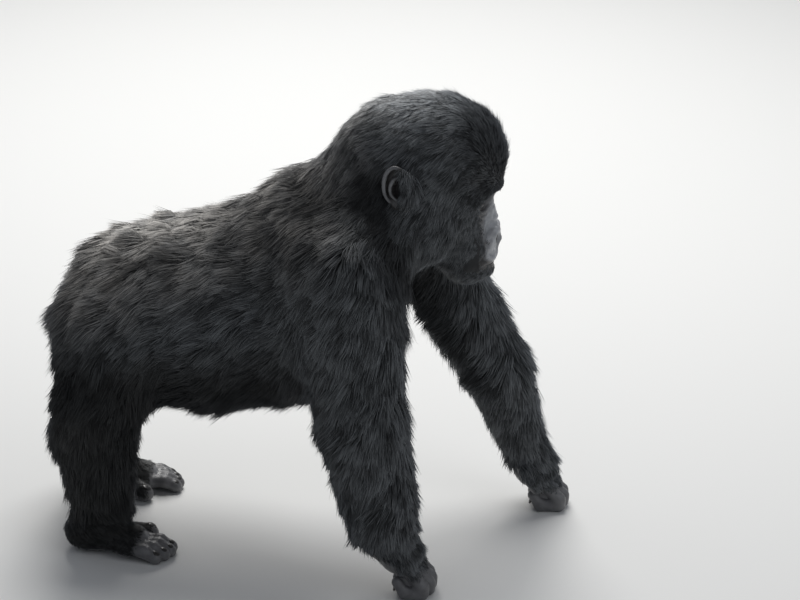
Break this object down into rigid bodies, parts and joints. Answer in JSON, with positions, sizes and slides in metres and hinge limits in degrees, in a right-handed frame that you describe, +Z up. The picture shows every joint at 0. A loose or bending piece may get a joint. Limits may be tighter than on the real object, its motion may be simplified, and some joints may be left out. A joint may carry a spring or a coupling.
{
  "type": "young mountain gorilla, life-size still model",
  "caption": "Young mountain gorilla standing on its knuckles and soles, with a shaggy black coat, bare dark face, round head looking slightly to its left, one arm reaching forward",
  "frame": {"origin": "on the floor, under the middle of the animal's bounding box", "axes": "+Z up, +X is the way the animal faces and its longest extent, +Y is its left side"},
  "size_m": [0.6318, 0.3434, 0.5771],
  "materials": {
    "coat": "long soft shaggy hair, brownish black on the back and blue-black on head and arms",
    "bare_skin": "wrinkled dark grey skin with a dull sheen",
    "eye": "wet dark brown"
  },
  "bodies": {
    "root": {"head": "coat", "neck": "coat", "chest": "coat", "belly": "coat", "pelvis": "coat", "upper_arm_R": "coat", "forearm_R": "coat", "thigh_R": "coat", "shin_R": "coat", "upper_arm_L": "coat", "forearm_L": "coat", "thigh_L": "coat", "shin_L": "coat", "face": "bare_skin", "lower_jaw": "bare_skin", "hand_R": "bare_skin", "foot_R": "bare_skin", "ear_R": "bare_skin", "hand_L": "bare_skin", "foot_L": "bare_skin", "ear_L": "bare_skin", "eye_R": "eye", "eye_L": "eye"}
  },
  "joints": []
}
